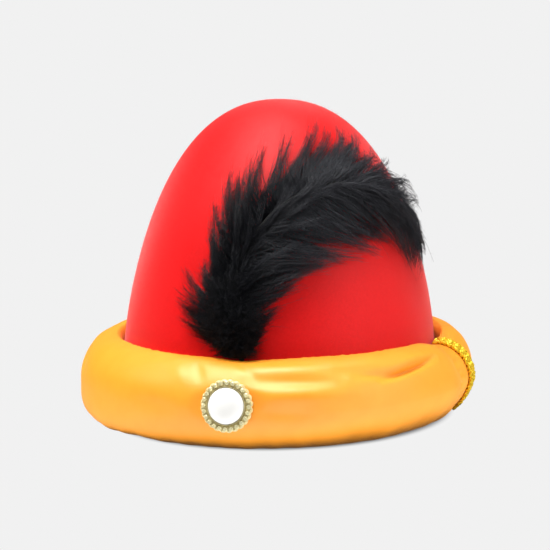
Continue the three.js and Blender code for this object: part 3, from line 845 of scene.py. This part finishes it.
def tufted_barbs(kind):
    """Barbs that leave the quill side by side and draw together into pointed tufts. Gives points
    (barb, step) just off the felt, and the normals there."""
    seed, tufts, each, sweeps, reaches, middles, ends = BARBS[kind]
    rng = np.random.default_rng(seed)
    cover = kind == "cover"
    centre = (np.arange(tufts) + rng.uniform(0, 1, tufts)) / tufts * 0.97
    foot = eased(centre / 0.3)
    aim = centre + rng.uniform(*sweeps, tufts) * (0.35 + 0.65 * foot)
    reach = rng.uniform(*reaches, tufts)
    quill_tip = quill_at(np.minimum(aim, 1) if cover else centre)[:, :2]
    outer = (reach > 0)[:, None] if cover else kind == "outer"
    edge = np.where(outer, edge_at(True, aim), edge_at(False, aim))
    tuft_tip = quill_tip + (edge - quill_tip) * np.abs(reach)[:, None]
    tuft_bend = edge_at(kind == "outer", centre + 0.25 * (aim - centre))
    depth = rng.uniform(0, 1, tufts)

    tuft = np.repeat(np.arange(tufts), each)
    count = tufts * each
    root_at = np.clip(centre[tuft] + rng.normal(0, 0.022, count), 0, 0.985)
    root = quill_at(root_at)
    loose = eased((aim - 0.78) / 0.2)[tuft][:, None]
    scatter = np.where(rng.random((count, 1)) < 0.1, 4.0, 1.5) * (1 + 1.1 * loose)
    tip = tuft_tip[tuft] + rng.normal(0, 1, (count, 2)) * scatter * ON_CHART
    start = root[:, :2]
    bowed = 0.12 if cover else 0.42
    bend = start + (tuft_bend[tuft] - start) * bowed + rng.normal(0, 1.2, (count, 2)) * ON_CHART
    length = 1 - (0.5 + 0.15 * loose) * rng.random((count, 1)) ** (2.2 - 1.2 * loose)
    t = np.linspace(0, 1, BARB_STEPS) * length
    s = t[..., None]
    chart = start[:, None] * (1 - s) ** 2 + 2 * bend[:, None] * s * (1 - s) + tip[:, None] * s**2
    wander = rng.normal(0, 0.7, (count, 1, 2)) * np.sin(s * rng.uniform(2, 6, (count, 1, 1))) * s
    chart = chart + wander * ON_CHART
    deep = depth[tuft][:, None]
    middle = middles[0] + (middles[1] - middles[0]) * deep + rng.normal(0, 0.5, (count, 1))
    end = ends[0] + (ends[1] - ends[0]) * deep + rng.normal(0, 0.9, (count, 1))
    stand = np.interp(aim, *zip(*STAND))[tuft][:, None]
    middle, end = middle * (0.5 + 0.5 * stand), end * stand
    near_foot = 0.45 + 0.55 * eased(root_at / 0.25)[:, None]
    lift = root[:, 2:3] * (1 - t) ** 2 + 2 * middle * near_foot * t * (1 - t) + end * near_foot * t**2
    return placed_barbs(chart, lift)


def placed_barbs(chart, lift):
    """Barbs from (azimuth, height) and distance off the felt, in mm, kept off the felt and the roll."""
    roll_line = ROLL_TOP - PLUME_DIP * plume_weighs(chart[..., 0])
    z = np.maximum(chart[..., 1] * MM, roll_line + 0.7 * MM)
    points = off_felt(chart[..., 0], z, np.maximum(lift, 1) * MM)
    return points, dome_normal(chart[..., 0], dome_rise(z))


def down_barbs(seed, count):
    """The short soft barbs round the foot of the quill, which stand out all round it."""
    rng = np.random.default_rng(seed)
    at = rng.uniform(0, 0.27, count)
    full = eased(at / 0.14)
    root = quill_at(at)
    root[:, 0] += rng.uniform(-6, 2.5, count) * (1 - full)
    angle = rng.uniform(0, 2 * math.pi, count)
    reach = rng.uniform(0.55, 1.1, count) * (8 + 12 * full)
    t = np.linspace(0, 1, 7)
    sideways = (np.cos(angle) * reach * 0.53)[:, None] * t
    upwards = (reach * (rng.uniform(-0.7, 0.9, count) + 0.2 * full))[:, None] * t**1.3
    curl = rng.normal(0, 1.4, (count, 1)) * np.sin(t * 4)
    chart = joined(root[:, :1] + sideways + curl * 0.5, root[:, 1:2] + upwards + curl)
    out = rng.uniform(-4.5, 9, (count, 1)) * (0.5 + 0.5 * full[:, None])
    lift = root[:, 2:3] + out * np.sin(np.pi * 0.62 * t)
    return placed_barbs(chart, lift)


def add_barbs(name, points, normals, thick, shade="plume"):
    radii = thick * (1 - 0.8 * np.linspace(0, 1, points.shape[1]) ** 1.5)
    return tubes(name, points, radii, normals, 3, shade)


def add_barbules(name, points, normals, seed, each, length, width, shade="plume"):
    """Fine hairs that stand off the barbs, more of them towards the tips."""
    rng = np.random.default_rng(seed)
    count, steps = points.shape[:2]
    place = rng.uniform(0.08, 0.995, (count, each)) ** 0.8 * (steps - 1)
    i = np.minimum(place.astype(int), steps - 2)
    barb = np.arange(count)[:, None]
    a, b = points[barb, i], points[barb, i + 1]
    roots = a + (b - a) * (place - i)[..., None]
    along = unit(b - a)
    normal = normals[barb, i]
    side = rng.choice([-1, 1], (count, each, 1)) * rng.uniform(0.3, 0.9, (count, each, 1))
    stand = rng.normal(0, 0.35, (count, each, 1))
    direction = unit(along + np.cross(normal, along) * side + normal * stand)
    tips = roots + direction * length * rng.uniform(0.5, 1.2, (count, each, 1))
    return spikes(name, roots.reshape(-1, 3), tips.reshape(-1, 3), width, shade)


def add_quill():
    line = quill_at(np.linspace(0, 1, 100))
    z = line[:, 1] * MM
    points = off_felt(line[:, 0], z, line[:, 2] * MM)[None]
    normals = dome_normal(line[:, 0], dome_rise(z))
    radii = np.linspace(1.5, 0.5, 100) * MM
    shaft = tubes("plume_shaft", points, radii, normals, 12, "quill", 0.85)
    finish(shaft, "plume", "plume_quill")


def add_plume():
    add_quill()
    for kind, (seed, *_) in BARBS.items():
        points, normals = tufted_barbs(kind)
        barbs = add_barbs(f"plume_{kind}_barbs", points, normals, 0.19 * MM)
        nodes = [] if kind == "cover" else [f"plume_{kind}_vane"]
        finish(barbs, "plume", *nodes)
        hairs = add_barbules(f"plume_{kind}_barbules", points, normals, seed + 40, 13, 2.8 * MM, 0.11 * MM)
        finish(hairs, "plume")
    points, normals = down_barbs(9, 1800)
    finish(add_barbs("plume_down", points, normals, 0.16 * MM, "plume_down"), "plume", slot="plume")
    hairs = add_barbules("plume_down_hairs", points, normals, 52, 14, 2.4 * MM, 0.12 * MM, "plume_down")
    finish(hairs, "plume", slot="plume")


# ---- Brooch ----

# In mm, in the brooch's own frame, with +Z out of the roll from the floor of the hollow.
RIM, BROOCH_BACK, BROOCH_FACE = 14.1, 0.3, 1.8
COLLAR = 2.8  # the top of the ring that the stones are sunk in
STONES, STONE_RING, STONE_RADIUS, STONE_BACK, STONE_HEIGHT = 24, 12, 1.3, 2.1, 2
PEARL_RADIUS, PEARL_HEIGHT, PEARL_BACK, CUP_LIP = 9.6, 6.3, 3, 3.7
PRONG_BACK, PRONG_HEIGHT = 1.5, 2.1


def on_brooch(points):
    """From the brooch's own frame to the hat's."""
    sideways = unit(np.cross((0, 0, 1), BROOCH_AXIS))
    upwards = np.cross(BROOCH_AXIS, sideways)
    return BROOCH_FLOOR + np.asarray(points) * MM @ np.stack([sideways, upwards, BROOCH_AXIS])


def add_prongs(name, ring, radius):
    """Round-headed prongs in a ring, one between each two stones."""
    angle = 2 * math.pi * (np.arange(STONES)[:, None] + 0.5) / STONES
    z = PRONG_BACK + np.array([0, 0.55, 0.75, 0.9, 1]) * PRONG_HEIGHT
    local = joined(ring * np.cos(angle), ring * np.sin(angle), z)
    normal = unit(np.cross(BROOCH_AXIS, (1, 0, 0)))
    radii = np.array([1, 1, 0.86, 0.58, 0.12]) * radius * MM
    finish(tubes(name, on_brooch(local), radii, normal, 8, "gilt_metal"), "brooch")


def add_stone(number):
    """One cut stone: a pavilion, a girdle, a ring of facets and a table."""
    corners = 8
    middle = 2 * math.pi * number / STONES
    # Radius, height and turn of each ring of corners.
    rings = np.array([(0.5, 0, 0), (1, 0.55, 0), (1, 0.66, 0), (0.56, 1, 0.5)])
    radius, height, offset = rings.T[..., None]
    angle = 2 * math.pi * (np.arange(corners) + offset) / corners + middle
    x = STONE_RING * math.cos(middle) + radius * STONE_RADIUS * np.cos(angle)
    y = STONE_RING * math.sin(middle) + radius * STONE_RADIUS * np.sin(angle)
    points = joined(x, y, STONE_BACK + height * STONE_HEIGHT)
    j = np.arange(corners)
    k = (j + 1) % corners
    walls = [joined(j, k, corners + k, corners + j) + base for base in (0, corners)]
    c, d = 2 * corners, 3 * corners
    facets = [joined(c + j, c + k, d + j), joined(d + j, c + k, d + k)]
    groups = [np.concatenate(walls), np.concatenate(facets), np.stack([j[::-1], d + j])]
    name = f"cut_stone_{number + 1:02d}"
    stone = new_mesh(name, on_brooch(points), groups, "rhinestone", smooth=False)
    finish(stone, "brooch", f"rhinestone_{number + 1:02d}")


def add_brooch():
    back, face, well = BROOCH_BACK, BROOCH_FACE, PEARL_RADIUS + 0.65
    dish = [(0, back, 0), (RIM - 1.2, back, 0.3), (RIM - 0.3, back + 0.3, 0.7),
            (RIM, (back + face) / 2, 0.6), (RIM - 0.2, face - 0.2, 0.6), (RIM - 0.5, COLLAR - 0.3, 0.6),
            (RIM - 1.1, COLLAR, 0.3), (well + 0.05, COLLAR, 0), (well, face - 0.3, 0), (0, face - 0.3, 0)]
    finish(lathe("brooch_plate", dish, 240, "gilt_metal", STONES), "brooch", "brooch_base")
    bore, lip, floor = PEARL_RADIUS + 0.3, CUP_LIP, PEARL_BACK - 0.3
    cup = [(0, STONE_BACK, 0), (bore + 0.3, STONE_BACK, 0), (bore + 0.3, lip - 0.1, 0),
           (bore + 0.15, lip, 0), (bore, lip - 0.1, 0), (bore, floor, 0), (0, floor, 0)]
    finish(lathe("pearl_setting", cup, 120, "gilt_metal"), "brooch", "pearl_cup")
    dome = [(0, PEARL_BACK, 0)]
    for angle in np.radians(np.arange(0, 90, 6)):
        dome.append((PEARL_RADIUS * math.cos(angle), PEARL_BACK + PEARL_HEIGHT * math.sin(angle), 0))
    dome.append((0, PEARL_BACK + PEARL_HEIGHT, 0))
    finish(lathe("half_pearl", dome, 96, "pearl"), "brooch", "pearl")
    for number in range(STONES):
        add_stone(number)
    add_prongs("outer_prongs", STONE_RING + 1.05, 0.33)
    add_prongs("inner_prongs", STONE_RING - 1.2, 0.3)


# ---- Inside and underneath ----


def add_lining():
    """Four gores, each with a turned-in seam allowance that stands a little off along its edges."""
    steps, ups = 60, 70
    for number in range(4):
        first = 90 * number
        azimuth = np.linspace(first + 0.12, first + 89.88, steps)[:, None]
        rise = np.concatenate([np.linspace(0, 0.9, ups), np.linspace(0.905, 0.994, 12)])
        edge = np.minimum(azimuth - first, first + 90 - azimuth)
        ease = eased(rise / 0.15) * (1 - eased((rise - 0.85) / 0.14))
        slack = (waves(dome_point(azimuth, rise), 45 * MM, 60 + number) + 1) * 0.5 * MM * ease
        pucker = (1 + np.sin(azimuth * 1.7 + number)) * 0.5 * MM * ease * eased((rise - 0.55) / 0.3)
        seam = 0.7 * MM * np.exp(-((edge / 1.6) ** 2)) * ease
        inset = LINING_AT + slack * eased(edge / 6) + pucker * eased(edge / 6) + seam
        sides = []
        for extra in (0.05 * MM, LINING - 0.3 * MM):
            depth = (inset + extra)[..., None]
            sides.append(dome_point(azimuth, rise) - dome_normal(azimuth, rise) * depth)
            sides[-1][:, 0, 2] = FOOT
        gore = slab(f"lining_panel_{number + 1}", *sides, "lining_cloth")
        finish(gore, "hat", f"lining_gore_{number + 1}")


def add_sweatband():
    """A grosgrain ribbon: ribs across it, and an upper edge that stands a little off the lining."""
    ribs, per_rib, ups = 480, 4, 12
    top = 37.5 * MM
    azimuth = all_round(ribs * per_rib)
    z = np.linspace(FOOT, top, ups)
    share = (z - FOOT) / (top - FOOT)
    selvedge = eased(share / 0.06) * eased((1 - share) / 0.06)
    rib = 0.09 * MM * np.sin(np.radians(azimuth * ribs)) * selvedge
    wavy = 0.5 * MM * eased(share * 2 - 1) * (1 + np.sin(np.radians(azimuth * 9)) * 0.6)
    inset = BAND_AT + wavy + 0.15 * MM
    sides = []
    for extra in (0 * rib, 0.45 * MM + rib):
        depth = (inset + extra)[..., None]
        sides.append(dome_point(azimuth, dome_rise(z, BAND_AT)) - wall_normal(azimuth) * depth)
        sides[-1][..., 2] = z
    loops = np.concatenate([sides[0], sides[1][:, ::-1]], 1)
    band = ring_skin("grosgrain_band", loops, "sweatband_ribbon")
    finish(band, "hat", "sweatband")


def add_binding():
    """The tape folded round the layers' edges at the opening. Its machine stitches are made in
    add_stitches.
    """
    azimuth = all_round(360)
    turn = np.radians(np.arange(0, 360, 15))
    middle, half_wide, half_high = 3.25 * MM, 2.9 * MM, 0.6 * MM
    c, s = np.cos(turn), np.sin(turn)
    inset = middle - half_wide * np.sign(c) * np.abs(c) ** 0.6
    z = 2.2 * MM + half_high * np.sign(s) * np.abs(s) ** 0.7
    ripple = 0.08 * MM * np.sin(np.radians(azimuth * 90)) * (s < 0)
    points = roll_point(azimuth, -inset, z + ripple)
    finish(ring_skin("opening_binding", points, "bias_tape"), "hat", "opening_tape")


def add_stitches():
    """The stitches that sew the roll on under the crown, and the ones along the binding."""
    # Count, where they start and end out from the felt, slant in degrees, height, radius and material.
    rows = {
        "roll_stitches": (150, -1.6, 2.6, 0.7, 1.2, 0.28, "thread"),
        "binding_stitches": (190, -4.6, -4.6, 1.05, 1.8, 0.16, "bias_tape"),
    }
    for name, (count, start, end, slant, height, radius, slot) in rows.items():
        t = np.linspace(0, 1, 9)
        azimuth = all_round(count) + slant * (t - 0.5)
        z = np.maximum(height - 0.5 * np.sin(np.pi * t), radius)
        points = roll_point(azimuth, (start + (end - start) * t) * MM, z * MM)
        finish(tubes(name, points, radius * MM, (0, 0, 1), 6, slot), "hat")


def add_label():
    """A blank woven label of satin tape, sewn on at the top, with its lower part bowed back and curled a
    little.
    """
    low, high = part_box("care_label")
    width, height = high.x - low.x, high.z - low.z
    across = np.linspace(-width / 2, width / 2, 15)[:, None]
    t = np.linspace(0, 1, 24)
    z = high.z - height * t
    bow = -1.2 * MM * t**2 * (1 - (across / width) ** 2)
    curl = 0.4 * MM * np.sin(across / width * 5) * t
    y = (low.y + high.y) / 2 + 0.1 * MM + bow + curl
    sides = [joined(across, y + side, z) for side in (-0.17 * MM, 0.17 * MM)]
    label = slab("blank_label", *sides, "label_tape")
    finish(label, "label", "care_label")


def finish_cad_nodes():
    """Gives the CAD nodes that stay, all of them inside the hat, the material of their slot."""
    for row in frame["record"]["subparts"]:
        node = frame["nodes"][row["node"]]
        node.data.materials.clear()
        node.data.materials.append(SHADES[row["material_slot"]])


add_camera()
add_stage()
finish_cad_nodes()
add_crown()
add_nap()
add_roll()
add_braid()
add_plume()
add_brooch()
add_lining()
add_sweatband()
add_binding()
add_stitches()
add_label()
